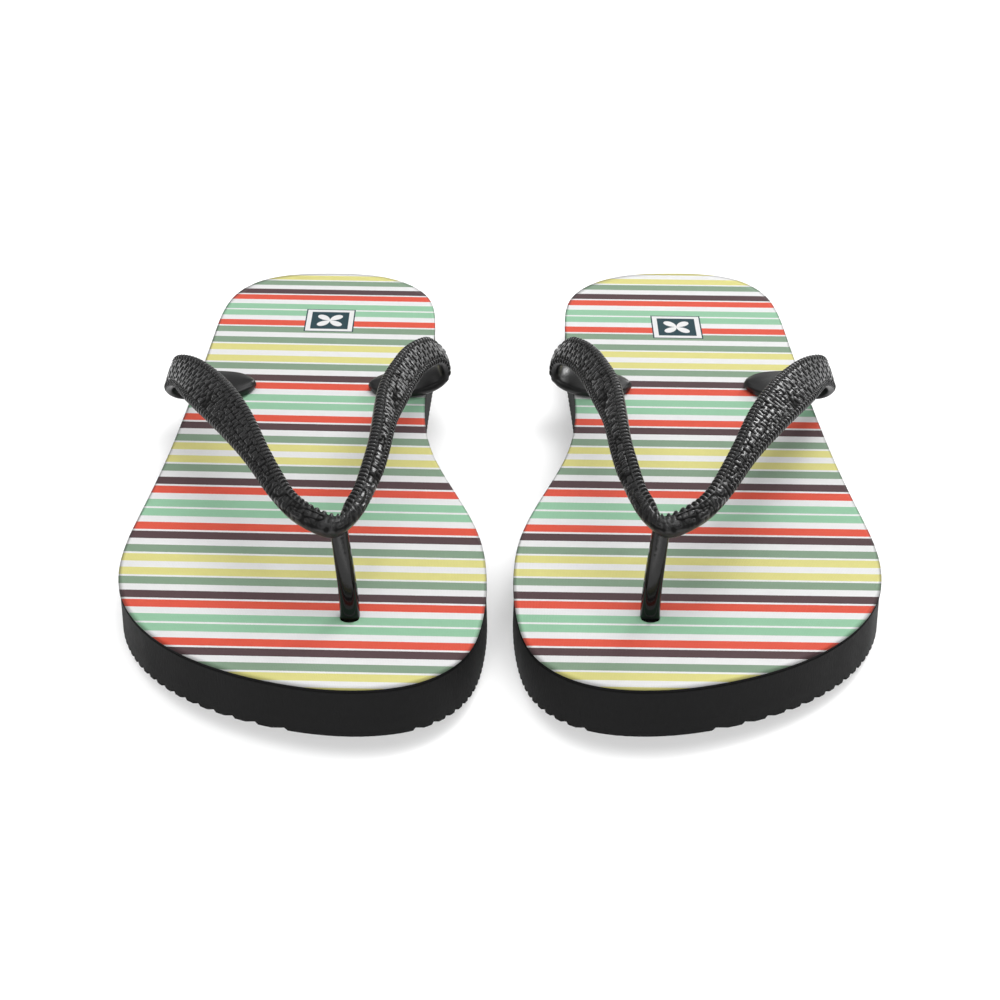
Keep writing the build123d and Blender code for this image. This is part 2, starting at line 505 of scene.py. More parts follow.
def make_rubber_grain() -> bpy.types.NodeTree:
    """Group for the skin of moulded rubber and cut foam.

    Fine pores and slow clouds of tone, both from noise on the place it is given, so that a place
    squeezed along one axis gives streaks along that axis.

    Returns:
        The group's tree, which puts out a height and a tone.
    """
    graph, given, out = shared_group("rubber grain", {"Place": VECTOR, "Fineness": FLOAT},
                                     {"Height": FLOAT, "Tone": FLOAT})
    fine = graph.add("ShaderNodeTexNoise")
    graph.feed(fine.inputs["Vector"], given["Place"])
    graph.feed(fine.inputs["Scale"], given["Fineness"])
    fine.inputs["Detail"].default_value = 3.0
    pores = graph.add("ShaderNodeTexVoronoi", feature="F1")
    graph.feed(pores.inputs["Vector"], given["Place"])
    graph.feed(pores.inputs["Scale"], graph.math("MULTIPLY", given["Fineness"], 0.6))
    clouds = graph.noise(given["Place"], 60.0, 2.0)
    pore_height = graph.remap(pores.outputs["Distance"], 0.0, 0.45, 0.0, 1.0, smooth=True)
    graph.feed(out["Height"], graph.math("ADD", graph.math("MULTIPLY", fine.outputs["Fac"], 0.65),
                                         graph.math("MULTIPLY", pore_height, 0.35)))
    graph.feed(out["Tone"], graph.math("ADD", graph.math("MULTIPLY", clouds, 0.6),
                                       graph.math("MULTIPLY", fine.outputs["Fac"], 0.4)))
    return graph.tree


def make_weave() -> bpy.types.NodeTree:
    """Group for a plain weave seen on a flat place.

    Formula: across runs |sin(pi u / pitch)| and along runs |sin(pi v / pitch)|; the product of the
    two sines says which yarn lies on top, as on a chess board, and its run gives the height.

    Returns:
        The group's tree, which puts out a height and which yarn is on top.
    """
    graph, given, out = shared_group("plain weave", {"Place": VECTOR, "Pitch": FLOAT},
                                     {"Height": FLOAT, "Yarn": FLOAT})
    parts = graph.add("ShaderNodeSeparateXYZ")
    graph.feed(parts.inputs[0], given["Place"])
    waves = [graph.math("SINE", graph.math("MULTIPLY", graph.math("DIVIDE", axis, given["Pitch"]), math.pi))
             for axis in (parts.outputs["X"], parts.outputs["Y"])]
    on_top = graph.math("GREATER_THAN", graph.math("MULTIPLY", *waves), 0.0)
    warp, weft = (graph.math("ABSOLUTE", wave) for wave in waves)
    graph.feed(out["Height"], graph.math("ADD", graph.math("MULTIPLY", warp, on_top),
                                         graph.math("MULTIPLY", weft, graph.math("SUBTRACT", 1.0, on_top))))
    graph.feed(out["Yarn"], on_top)
    return graph.tree


class Finish:
    """A procedural material. A subclass says how its surface looks in paint()."""

    def material(self, name: str) -> bpy.types.Material:
        """Builds the material with this finish.

        Args:
            name: the material's name.

        Returns:
            The new material.
        """
        made = bpy.data.materials.new(name)
        made.use_nodes = True
        graph = Graph(made.node_tree)
        shader = graph.add("ShaderNodeBsdfPrincipled")
        graph.feed(graph.add("ShaderNodeOutputMaterial").inputs["Surface"], shader.outputs["BSDF"])
        self.paint(graph, shader.inputs)
        return made

    def paint(self, graph: Graph, shader: bpy.types.NodeInputs) -> None:
        """Feeds the shader's sockets."""
        raise NotImplementedError


def use_group(graph: Graph, tree: bpy.types.NodeTree, **values: object) -> bpy.types.NodeOutputs:
    """Places a shared group with its own values and gives its outputs.

    Args:
        graph: the graph to add to.
        tree: the shared group.
        values: an output or a number for each input.

    Returns:
        The group's outputs.
    """
    node = graph.add("ShaderNodeGroup", node_tree=tree)
    for name, value in values.items():
        graph.feed(node.inputs[name], value)
    return node.outputs


# --- finishes -------------------------------------------------------------------------------------


@dataclass(frozen=True)
class StripePrint(Finish):
    """Woven cloth printed with stripes and a small woven-label motif at the heel.

    The stripes run outwards from a line where two pale green ones meet, and repeat as a mirror
    image of themselves: from that line to the line between two yellow ones is half the repeat.
    """

    weave: bpy.types.NodeTree
    turned: float = math.radians(2.46)
    first_line: float = 30.8 * MM
    half_repeat: float = 33.51 * MM
    stretch: float = 0.31
    heel_start: float = 73.0 * MM
    heel_press: float = 2.1
    narrow_gap: float = 1.0 * MM
    wide_gap: float = 3.65 * MM
    stripe: float = 4.3 * MM
    label_place: tuple[float, float] = (-60.2 * MM, 93.9 * MM)
    label_size: float = 17.4 * MM
    yarn_pitch: float = 0.42 * MM
    lightness: float = 0.90
    yarn_shadow: float = 0.90
    yarn_relief: float = 0.05 * MM
    bleed: float = 0.16 * MM
    label_frame: tuple[float, float] = (0.45 * MM, 2.1 * MM)
    petal_reach: float = 0.33
    white: Paint = linear(243, 243, 243)
    yellow: Paint = linear(231, 225, 142)
    sage: Paint = linear(139, 165, 140)
    plum: Paint = linear(88, 66, 69)
    coral: Paint = linear(233, 90, 68)
    mint: Paint = linear(156, 206, 171)
    label_ink: Paint = linear(32, 66, 74)

    def widths(self) -> list[tuple[float, Paint]]:
        """Width and colour of each stripe and gap, from the pale green pair outwards."""
        return [(self.narrow_gap / 2, self.white), (self.stripe, self.mint), (self.wide_gap, self.white),
                (self.stripe, self.coral), (self.narrow_gap, self.white), (self.stripe, self.plum),
                (self.wide_gap, self.white), (self.stripe, self.sage), (self.narrow_gap, self.white),
                (self.stripe, self.yellow), (self.wide_gap / 2, self.white)]

    def bands(self) -> list[tuple[float, Paint]]:
        """Where each colour starts, as a share of half the repeat."""
        starts = np.cumsum([0.0] + [width for width, _ in self.widths()])
        return [(start / starts[-1], colour) for start, (_, colour) in zip(starts, self.widths())]

    def stripes(self, graph: Graph, across: object, along: object) -> bpy.types.NodeSocket:
        """Colour of the stripes at a place on the flat cloth.

        Formula: the place is along, slanted by across, pulled by -stretch along^2 and pressed by
        heel_press (along - heel_start)^2 at the heel. It is folded at each half repeat, and a
        ramp gives the colour. One plum stripe is woven in sage instead.

        Args:
            graph: the graph to add to.
            across: distance over the cloth's width.
            along: distance along the cloth, from toe to heel.

        Returns:
            The output with the colour.
        """
        slanted = graph.math("ADD", graph.math("MULTIPLY", across, math.tan(self.turned)), along)
        pulled = graph.math("MULTIPLY", graph.math("MULTIPLY", along, along), -self.stretch)
        past = graph.math("MAXIMUM", graph.math("SUBTRACT", along, self.heel_start), 0.0)
        pressed = graph.math("MULTIPLY", graph.math("MULTIPLY", past, past), self.heel_press)
        moved = graph.math("ADD", pulled, pressed)
        place = graph.math("SUBTRACT", graph.math("ADD", slanted, moved), self.first_line)
        folded = graph.math("PINGPONG", place, self.half_repeat)
        starts = {colour: start * self.half_repeat for start, colour in self.bands()}
        plum_width = self.stripe * self.half_repeat / sum(width for width, _ in self.widths())
        odd_middle = 2 * self.half_repeat - starts[self.plum] - plum_width / 2
        odd = graph.math("COMPARE", place, odd_middle, plum_width * 0.6)
        ramp = graph.add("ShaderNodeValToRGB")
        ramp.color_ramp.interpolation = "CONSTANT"
        stops = ramp.color_ramp.elements
        stops.remove(stops[1])
        for number, (start, colour) in enumerate(self.bands()):
            stop = stops[0] if number == 0 else stops.new(start)
            stop.color = colour
        graph.feed(ramp.inputs["Fac"], graph.math("DIVIDE", folded, self.half_repeat))
        dark = graph.math("LESS_THAN", self.brightness(graph, ramp.outputs["Color"]), 0.1)
        return graph.mix(graph.math("MULTIPLY", odd, dark), ramp.outputs["Color"], self.sage)

    @staticmethod
    def brightness(graph: Graph, colour: bpy.types.NodeSocket) -> bpy.types.NodeSocket:
        """Grey value of a colour."""
        node = graph.add("ShaderNodeRGBToBW")
        graph.feed(node.inputs[0], colour)
        return node.outputs[0]

    def label(self, graph: Graph, across: object, along: object,
              under: bpy.types.NodeSocket) -> bpy.types.NodeSocket:
        """The stripes with the label over them: a dark square with a white frame and four petals.

        Formula: the square is where the larger of |x| and |y| is under half its side, and the
        petals are where the distance from the middle is under a radius that swings with the angle.

        Args:
            graph: the graph to add to.
            across: distance over the cloth's width.
            along: distance along the cloth.
            under: colour of the stripes.

        Returns:
            The output with the colour.
        """
        slope = math.tan(self.turned)
        x = graph.math("SUBTRACT", across, self.label_place[0])
        y = graph.math("ADD", graph.math("SUBTRACT", along, self.label_place[1]),
                       graph.math("MULTIPLY", x, slope))
        ring = graph.math("MAXIMUM", graph.math("ABSOLUTE", x), graph.math("ABSOLUTE", y))
        away = graph.math("SQRT", graph.math("ADD", graph.math("MULTIPLY", x, x),
                                             graph.math("MULTIPLY", y, y)))
        swing = graph.math("ABSOLUTE", graph.math("SINE", graph.math(
            "MULTIPLY", graph.math("ARCTAN2", y, x), 2.0)))
        petal = graph.math("MULTIPLY", swing, self.label_size * self.petal_reach)
        half = self.label_size / 2
        outer, inner = self.label_frame
        colour = under
        squares = ((half, self.label_ink), (half - outer, self.white), (half - inner, self.label_ink))
        for limit, paint in squares:
            colour = graph.mix(graph.math("LESS_THAN", ring, limit), colour, paint)
        return graph.mix(graph.math("LESS_THAN", away, petal), colour, self.white)

    def paint(self, graph: Graph, shader: bpy.types.NodeInputs) -> None:
        """Print, weave relief and the slight shade between the yarns.

        Args:
            graph: the material's graph.
            shader: the shader's inputs.
        """
        place = graph.add("ShaderNodeUVMap", uv_map=PRINT_MAP).outputs["UV"]
        parts = graph.add("ShaderNodeSeparateXYZ")
        graph.feed(parts.inputs[0], place)
        across, along = parts.outputs["X"], parts.outputs["Y"]
        bleed = graph.math("MULTIPLY", graph.math("SUBTRACT", graph.noise(place, 2600.0, 2.0), 0.5),
                           self.bleed)
        printed = self.stripes(graph, across, graph.math("ADD", along, bleed))
        printed = self.label(graph, across, along, printed)
        weave = use_group(graph, self.weave, Place=place, Pitch=self.yarn_pitch)
        fade = graph.noise(place, 420.0, 3.0)
        yarn = graph.remap(weave["Height"], 0.0, 1.0, self.yarn_shadow * self.lightness, self.lightness)
        shade = graph.math("MULTIPLY", yarn, graph.remap(fade, 0.3, 0.7, 0.975, 1.0))
        tint = graph.add("ShaderNodeCombineColor")
        for socket in tint.inputs[:3]:
            graph.feed(socket, shade)
        graph.feed(shader["Base Color"], graph.mix(1.0, printed, tint.outputs[0], "MULTIPLY"))
        graph.feed(shader["Roughness"], graph.remap(weave["Height"], 0.0, 1.0, 0.92, 0.78))
        shader["Specular IOR Level"].default_value = 0.2
        shader["Sheen Weight"].default_value = 0.08
        shader["Sheen Roughness"].default_value = 0.5
        graph.feed(shader["Normal"], graph.bumped(weave["Height"], self.yarn_relief, 0.6))


@dataclass(frozen=True)
class BlackRubber(Finish):
    """Black rubber or foam, with fine grain and slow changes of tone.

    Where the mesh carries the height of a carved relief, its cuts are rough, with painted shade in them,
    and the tone and the smoothness come up from the first of the two carved heights to the second.
    """

    grain: bpy.types.NodeTree
    shade: float
    gloss: float
    roughness: tuple[float, float]
    fineness: float
    relief: float
    squeeze: Point = (1.0, 1.0, 1.0)
    carved: tuple[float, float] | None = None
    # share of the rubber's tone that is painted in the cuts as shade
    cut_painted_shade: float = 0.2

    def paint(self, graph: Graph, shader: bpy.types.NodeInputs) -> None:
        """Feeds tone, roughness and relief from the shared grain.

        Args:
            graph: the material's graph.
            shader: the shader's inputs.
        """
        place = graph.scaled(graph.object_place(), self.squeeze)
        grain = use_group(graph, self.grain, Place=place, Fineness=self.fineness)
        dark = (self.shade * 0.75, self.shade * 0.76, self.shade * 0.80, 1.0)
        light = (self.shade * 1.35, self.shade * 1.35, self.shade * 1.38, 1.0)
        tone = graph.mix(graph.remap(grain["Tone"], *GRAIN_TONE, 0.0, 1.0), dark, light)
        dullness = graph.remap(grain["Tone"], *GRAIN_TONE, *self.roughness)
        if self.carved:
            relief = graph.add("ShaderNodeAttribute", attribute_name=RELIEF).outputs["Fac"]
            top = graph.remap(relief, *self.carved, 0.0, 1.0, smooth=True)
            # painted shade: below the carved heights the cuts take a far darker base colour than the rubber
            # around them
            tone = graph.mix(top, (self.shade * self.cut_painted_shade,) * 3 + (1.0,), tone)
            dullness = graph.remap(top, 0.0, 1.0, 1.0, dullness)
        shader["Specular IOR Level"].default_value = self.gloss
        graph.feed(shader["Base Color"], tone)
        graph.feed(shader["Roughness"], dullness)
        graph.feed(shader["Normal"], graph.bumped(grain["Height"], self.relief))


@dataclass(frozen=True)
class StudioWhite(Finish):
    """Matt white studio floor with a trace of unevenness, which glows more away from the shoes."""

    shade: float = 0.90
    glow: float = 0.12
    far_glow: float = 0.80
    glow_rise: tuple[float, float] = (0.35, 1.6)

    def paint(self, graph: Graph, shader: bpy.types.NodeInputs) -> None:
        """Feeds a nearly even white.

        Args:
            graph: the material's graph.
            shader: the shader's inputs.
        """
        cloud = graph.noise(graph.object_place(), 3.0, 1.0)
        low, high = (self.shade * 0.995,) * 3 + (1.0,), (self.shade,) * 3 + (1.0,)
        graph.feed(shader["Base Color"], graph.mix(cloud, low, high))
        shader["Roughness"].default_value = 1.0
        shader["Specular IOR Level"].default_value = 0.0
        shader["Emission Color"].default_value = (1.0, 1.0, 1.0, 1.0)
        away = graph.add("ShaderNodeVectorMath", operation="LENGTH")
        graph.feed(away.inputs[0], graph.object_place())
        graph.feed(shader["Emission Strength"], graph.remap(away.outputs["Value"], *self.glow_rise,
                                                            self.glow, self.far_glow, smooth=True))


# --- the sole -------------------------------------------------------------------------------------

# Plan outline of the right footbed, from the heel along the outer side to the toe, then back.
OUTLINE_MM = (
    (-61.5, 132.2), (-75.0, 131.4), (-86.5, 126.9), (-94.5, 117.0), (-98.4, 101.5), (-99.6, 82.0),
    (-100.6, 58.0), (-102.2, 28.0), (-104.2, -2.0), (-107.2, -32.0), (-109.1, -56.0),
    (-106.6, -79.0), (-97.5, -99.0), (-80.5, -116.6), (-60.0, -127.6), (-39.0, -132.2),
    (-21.5, -128.4), (-10.5, -117.0), (-5.2, -97.5), (-4.0, -76.0), (-6.2, -49.5), (-13.2, -25.0),
    (-20.6, -2.5), (-24.5, 21.0), (-24.6, 46.0), (-23.4, 72.0), (-23.3, 96.0), (-26.8, 113.5),
    (-35.6, 124.8), (-47.5, 130.7),
)


@dataclass
class SoleShape:
    """The bent sole that every piece of a shoe is placed on."""

    thickness: float = 15.0 * MM
    cloth_thickness: float = 1.0 * MM
    outsole_thickness: float = 4.0 * MM
    wall_flare: float = 0.4 * MM
    half_length: float = 132.2 * MM
    half_width: float = 52.5 * MM
    middle_x: float = -57.0 * MM
    spring_start: float = -17.2 * MM
    spring_radius: float = 906.0 * MM
    around: int = 480

    def height(self, y: np.ndarray | float, layer: np.ndarray | float) -> np.ndarray:
        """Height at y of the face that lies layer above the tread.

        Formula: flat behind the spring start, and ahead of it a circle about the point
        spring_radius above the start: z = R - sqrt((R - layer)^2 - ahead^2).

        Args:
            y: place along the shoe.
            layer: height of the face above the tread, one number or one for each y.

        Returns:
            The height above the floor at each y.
        """
        ahead = np.maximum(self.spring_start - np.asarray(y, float), 0.0)
        return self.spring_radius - np.sqrt((self.spring_radius - layer) ** 2 - ahead**2)

    def unrolled(self, y: np.ndarray, layer: float) -> np.ndarray:
        """Distance along the bent face, measured like y: the arc replaces its chord.

        Args:
            y: place along the shoe.
            layer: height of the face above the tread.

        Returns:
            The distance for each y.
        """
        y = np.asarray(y, float)
        ahead = np.maximum(self.spring_start - y, 0.0)
        radius = self.spring_radius - layer
        return y + ahead - radius * np.arcsin(ahead / radius)

    def carried(self, y: float, layer: float) -> tuple[float, float]:
        """Where the bend carries a point of the flat sole.

        Formula: ahead of the spring start the distance along the tread becomes an angle, its
        share of the radius, and the point turns by it about the middle of the circle.

        Args:
            y: place along the flat sole.
            layer: height above the tread.

        Returns:
            The point's y and z on the bent sole.
        """
        ahead = max(self.spring_start - y, 0.0)
        turned, radius = ahead / self.spring_radius, self.spring_radius - layer
        return y + ahead - radius * math.sin(turned), self.spring_radius - radius * math.cos(turned)

    def tilt(self, y: float) -> float:
        """Angle that the sole is turned by at y."""
        return math.asin(max(self.spring_start - y, 0.0) / self.spring_radius)

    def rim(self) -> tuple[np.ndarray, np.ndarray]:
        """Points of the footbed's outline and the outward direction at each, in plan.

        Returns:
            The points, and the direction at each.
        """
        curve = SmoothCurve(np.array(OUTLINE_MM) * MM, closed=True)
        step = curve.knots[-1] / self.around
        t = np.arange(self.around) * step
        points = curve.at(t)
        ahead = unit(curve.at((t + step / 10) % curve.knots[-1]) - points)
        return points, np.stack([-ahead[:, 1], ahead[:, 0]], axis=1)

    def slab(self, low: float, high: float, rounding: float, spread: int) -> Surface:
        """A layer of the sole as one closed surface.

        Formula: rings shrink from the rim to a middle point over the top and the bottom face. At
        the rim they follow a quarter circle, the wall, and another quarter circle. Each point's
        height is the bent face's height at its y.

        Args:
            low: height of the layer's underside above the tread.
            high: height of its top face.
            rounding: radius of the two rounded edges.
            spread: how many rings each face has.

        Returns:
            The right shoe's layer, with its flat place for the print and 1 as the finish index of
            all that isn't the top face.
        """
        rim, outward = self.rim()
        middle = rim.mean(0)
        shares = np.linspace(0.02, 1.0, spread)
        corner = np.linspace(0, np.pi / 2, 5)
        wall = np.linspace(0, 1, 6)[1:-1]
        share = np.concatenate([shares[:-1], np.ones(2 * len(corner) + len(wall)), shares[-2::-1]])
        inset = np.concatenate([np.full(spread - 1, rounding), rounding * (1 - np.sin(corner)), 0 * wall,
                                rounding * (1 - np.sin(corner[::-1])), np.full(spread - 1, rounding)])
        drop = rounding * (1 - np.cos(corner))
        layer = np.concatenate([np.full(spread - 1, high), high - drop,
                                high - rounding + (low + 2 * rounding - high) * wall,
                                low + drop[::-1], np.full(spread - 1, low)])
        flare = self.wall_flare * (1 - layer / self.thickness)
        scale = np.stack([1 + flare / self.half_width, 1 + flare / self.half_length], axis=1)
        centre = np.array([self.middle_x, 0.0])
        edge = centre + (rim[None] - centre) * scale[:, None] - outward[None] * inset[:, None, None]
        plan = middle + (edge - middle) * share[:, None, None]
        heights = self.height(plan[..., 1], layer[:, None])
        surface = Surface.tube(np.concatenate([plan, heights[..., None]], axis=-1))
        x, y = surface.points[:, 0], surface.points[:, 1]
        surface.print_place = np.stack([x, self.unrolled(y, high)], axis=1)
        top = np.arange(len(surface.quads)) < (spread - 1) * self.around
        caps = np.arange(len(surface.triangles)) < self.around
        surface.finish_index = 1 - np.concatenate([top, caps])
        return surface


# --- the strap ------------------------------------------------------------------------------------

# Each arm of the right strap from the V to the tip of its tongue, in millimetres: where the front
# edge and the back edge of the band run (Z above the footbed), and how thick the band is there.
OUTER_ARM_MM: tuple[Station, ...] = (
    ((-44.5, -92.2, 26.0), (-43.3, -86.0, 28.3), 4.6),
    ((-51.0, -90.0, 26.3), (-48.8, -84.0, 29.0), 4.6),
    ((-58.5, -82.0, 26.8), (-54.8, -77.5, 29.8), 4.4),
    ((-66.0, -66.5, 26.8), (-61.0, -63.5, 30.3), 4.2),
    ((-73.3, -49.2, 26.2), (-67.3, -45.5, 30.3), 4.0),
    ((-81.2, -32.8, 24.8), (-73.0, -27.8, 29.9), 3.8),
    ((-89.8, -15.2, 22.2), (-80.5, -8.8, 28.3), 3.6),
    ((-97.4, 1.6, 18.4), (-88.3, 8.4, 25.5), 3.4),
    ((-101.4, 13.6, 15.0), (-95.6, 21.8, 22.5), 3.2),
    ((-104.8, 23.6, 11.4), (-102.2, 32.0, 18.4), 3.0),
    ((-107.5, 28.8, 8.0), (-105.2, 38.6, 13.7), 3.0),
    ((-108.0, 31.8, 4.6), (-106.0, 44.0, 8.4), 3.0),
    ((-105.8, 33.6, 2.4), (-104.3, 48.5, 4.2), 3.0),
    ((-100.0, 34.4, 1.8), (-98.5, 51.0, 2.0), 2.9),
    ((-93.0, 34.8, 1.7), (-92.5, 51.0, 1.7), 2.8),
    ((-87.3, 35.2, 1.7), (-86.6, 49.6, 1.7), 2.8),
    ((-83.6, 38.4, 1.5), (-83.3, 47.6, 1.5), 2.4),
    ((-81.0, 42.2, 1.3), (-81.0, 45.2, 1.3), 1.9),
)
INNER_ARM_MM: tuple[Station, ...] = (
    ((-43.3, -92.2, 26.0), (-44.5, -86.0, 28.3), 4.6),
    ((-39.9, -87.6, 26.4), (-42.9, -83.0, 29.0), 4.6),
    ((-36.4, -76.9, 26.8), (-41.0, -74.8, 29.8), 4.4),
    ((-33.8, -60.8, 26.8), (-39.0, -59.5, 30.3), 4.2),
    ((-32.3, -43.0, 26.3), (-37.6, -42.0, 30.3), 4.0),
    ((-31.2, -24.0, 24.7), (-37.2, -20.7, 29.4), 3.8),
    ((-28.9, -8.0, 22.5), (-36.4, -3.0, 28.0), 3.6),
    ((-26.7, 8.0, 20.0), (-33.8, 13.0, 26.1), 3.4),
    ((-24.2, 22.0, 17.0), (-30.3, 28.5, 23.6), 3.2),
    ((-21.3, 33.5, 13.8), (-25.8, 40.5, 20.2), 3.0),
    ((-18.6, 39.8, 10.8), (-23.2, 47.2, 15.8), 3.0),
    ((-17.6, 41.8, 7.2), (-19.9, 50.8, 10.4), 3.0),
    ((-18.4, 41.6, 4.1), (-19.3, 53.0, 5.8), 3.0),
    ((-21.2, 40.2, 2.2), (-22.2, 53.4, 2.8), 3.0),
    ((-25.5, 37.5, 1.8), (-27.0, 52.5, 2.0), 2.9),
    ((-33.0, 35.8, 1.7), (-33.3, 50.8, 1.7), 2.8),
    ((-38.3, 36.2, 1.7), (-38.8, 48.8, 1.7), 2.8),
    ((-41.6, 38.8, 1.5), (-41.9, 46.4, 1.5), 2.4),
    ((-43.7, 41.4, 1.3), (-43.7, 44.0, 1.3), 1.9),
)


@dataclass
class StemHead:
    """The round head that holds a stem in the tread, seen from below."""

    diameter: float = 16.0 * MM
    thickness: float = 3.0 * MM
    rounding: float = 1.0 * MM
    recess: float = 1.0 * MM
    ring_radius: float = 4.6 * MM
    ring_depth: float = 0.3 * MM
    ring_half_width: float = 0.5 * MM
    pole_radius: float = 0.4 * MM
    fillet: float = 0.4 * MM
    top_chamfer: float = 0.3 * MM
    around: int = 64

    def with_stem(self, sole: SoleShape, spot: tuple[float, float], stem_diameter: float,
                  top: float) -> Surface:
        """A head with its stem, square to the sole at a spot.

        Formula: the outline is turned about Z, then leaned by the sole's tilt and moved to where
        the bent tread has carried the spot.

        Args:
            sole: the shape of the sole.
            spot: plan place of the stem on the flat tread.
            stem_diameter: thickness of the stem.
            top: height of the stem's upper end above the tread.

        Returns:
            The head and the stem as one closed surface.
        """
        turn = np.linspace(0, np.pi / 2, 6)
        big, low, high = self.diameter / 2, self.recess, self.recess + self.thickness
        ring = np.linspace(-1, 1, 9)
        groove = np.stack([self.ring_radius + ring * self.ring_half_width,
                           low + self.ring_depth * (1 - ring**2)], 1)
        under = np.stack([big - self.rounding + self.rounding * np.sin(turn),
                          low + self.rounding * (1 - np.cos(turn))], 1)
        over = np.stack([big - self.rounding + self.rounding * np.cos(turn),
                         high - self.rounding * (1 - np.sin(turn))], 1)
        thin = stem_diameter / 2
        rod = np.array([[thin + self.fillet, high], [thin, high + self.fillet],
                        [thin, top - self.top_chamfer], [thin - self.top_chamfer, top]])
        start = np.array([[self.pole_radius, low]])
        rings = lathe(np.vstack([start, groove, under, over, rod]), self.around)
        x, y = spot
        tilt = sole.tilt(y)
        foot_y, foot_z = sole.carried(y, 0.0)
        leaned = np.stack([rings[..., 0] + x,
                           rings[..., 1] * math.cos(tilt) + rings[..., 2] * math.sin(tilt) + foot_y,
                           rings[..., 2] * math.cos(tilt) - rings[..., 1] * math.sin(tilt) + foot_z], axis=-1)
        return Surface.tube(leaned)


@dataclass
class Emboss:
    """The relief that is moulded into the outer face of the strap, in metres.

    Both edges carry a ladder of short ribs between a lip and a groove. Between the ladders lie
    rows of slits, set like bricks, deep where the band loops down beside the foot. Along the arms
    they turn shallow, under creases like bark.
    """

    rib_pitch: float = 2.2 * MM
    rib_height: float = 0.70 * MM
    ladder_width: float = 1.7 * MM
    groove_depth: float = 0.18 * MM
    groove_width: float = 0.24 * MM
    row_pitch: float = 2.3 * MM
    cell_width: float = 3.7 * MM
    slit_width: float = 0.42 * MM
    slit_depth: float = 0.95 * MM
    bark_depth: float = 0.80 * MM
    plain_front: float = 22.0 * MM
    lip_on_arm: float = -1.3 * MM
    lip_on_loop: float = -0.2 * MM
    lip_fade: float = 0.3 * MM
    rib_share: tuple[float, float] = (0.42, 0.85)
    rib_sink: float = 0.65
    wander: float = 0.22 * MM
    brick_jitter: float = 0.16
    open_part: tuple[float, float] = (0.38, 0.26)
    crease_size: tuple[float, float] = (6.0 * MM, 2.0 * MM)
    cut_size: tuple[float, float] = (2.0 * MM, 3.2 * MM)
    centre_rise: float = 0.10 * MM

    def from_v(self, along: np.ndarray) -> np.ndarray:
        """0 about the V and 1 from one and a half times the plain stretch on."""
        return smooth_step(self.plain_front, 1.5 * self.plain_front, np.abs(along))

    def ladder(self, along: np.ndarray, across: np.ndarray, edge: np.ndarray,
               loop: np.ndarray) -> np.ndarray:
        """Ribs square to the band: a raised cosine along it, faded out at the lip and the groove.

        On the arms the ribs run on round the edge, and on the loops they stop at a lip. On the
        front edge they fade out towards the V.

        Args:
            along: distance from the V along the band.
            across: distance from the band's middle line, negative to the front.
            edge: distance inwards from the nearer edge, negative over the rounded edge.
            loop: 1 in the loops beside the foot and 0 on the arms.

        Returns:
            The height of the ladders over the plain band.
        """
        rib = 0.5 + 0.5 * np.cos(2 * np.pi * along / self.rib_pitch)
        lip = self.lip_on_arm + (self.lip_on_loop - self.lip_on_arm) * loop
        window = smooth_step(lip - self.lip_fade, lip + self.lip_fade, edge) * (
            1 - smooth_step(self.ladder_width - 0.45 * MM, self.ladder_width, edge))
        from_v = self.from_v(along)
        window = window * np.where(across < 0, from_v, 1.0)
        groove = bump(edge - self.ladder_width - 0.1 * MM, self.groove_width) * from_v
        raised = (smooth_step(*self.rib_share, rib) - self.rib_sink) * self.rib_height
        return window * raised - groove * self.groove_depth

    def bricks(self, along: np.ndarray, across: np.ndarray) -> np.ndarray:
        """Slits across the band: a narrow trench at each row, broken at the sides of each brick.

        Args:
            along: distance from the V along the band.
            across: distance from the band's middle line.

        Returns:
            The height of the slits, at or below zero.
        """
        wander = smooth_noise(along / (2.6 * MM), across / (2.2 * MM), 3) * self.wander
        row = np.round((along + wander) / self.row_pitch)
        from_row = along + wander - row * self.row_pitch
        shift = 0.5 * (row % 2) + self.brick_jitter * smooth_noise(row * 0.73, across / (6 * MM), 5)
        cell = np.mod(across / self.cell_width + shift, 1.0) - 0.5
        open_share = smooth_step(*self.open_part, np.abs(cell))
        return -bump(from_row, self.slit_width) * open_share * self.slit_depth

    def bark(self, along: np.ndarray, across: np.ndarray) -> np.ndarray:
        """Long creases with short cross cuts: ridges of noise stretched along the band.

        Args:
            along: distance from the V along the band.
            across: distance from the band's middle line.

        Returns:
            The height of the creases, at or below zero.
        """
        crease, cut = (1 - np.abs(smooth_noise(along / length, across / width, seed))
                       for (length, width), seed in ((self.crease_size, 11), (self.cut_size, 17)))
        return -(0.6 * crease**13 + 0.4 * cut**11) * self.bark_depth

    def height(self, along: np.ndarray, across: np.ndarray, edge: np.ndarray,
               loop: np.ndarray) -> np.ndarray:
        """Height of the relief over the plain band.

        Args:
            along: distance from the V along the band.
            across: distance from the band's middle line.
            edge: distance inwards from the nearer edge, negative over the rounded edge.
            loop: 1 in the loops beside the foot and 0 on the arms.

        Returns:
            The height at each point, negative in a cut.
        """
        from_v = self.from_v(along)
        start = np.where(across < 0, self.ladder_width * from_v - 1.2 * MM * (1 - from_v), self.ladder_width)
        centre = smooth_step(start + 0.05 * MM, start + 0.4 * MM, edge)
        bricks = self.bricks(along, across) * (0.25 + 0.30 * from_v + 0.45 * loop)
        bark = self.bark(along, across) * (1 - 0.75 * loop)
        return self.ladder(along, across, edge, loop) + centre * (bricks + bark + self.centre_rise)


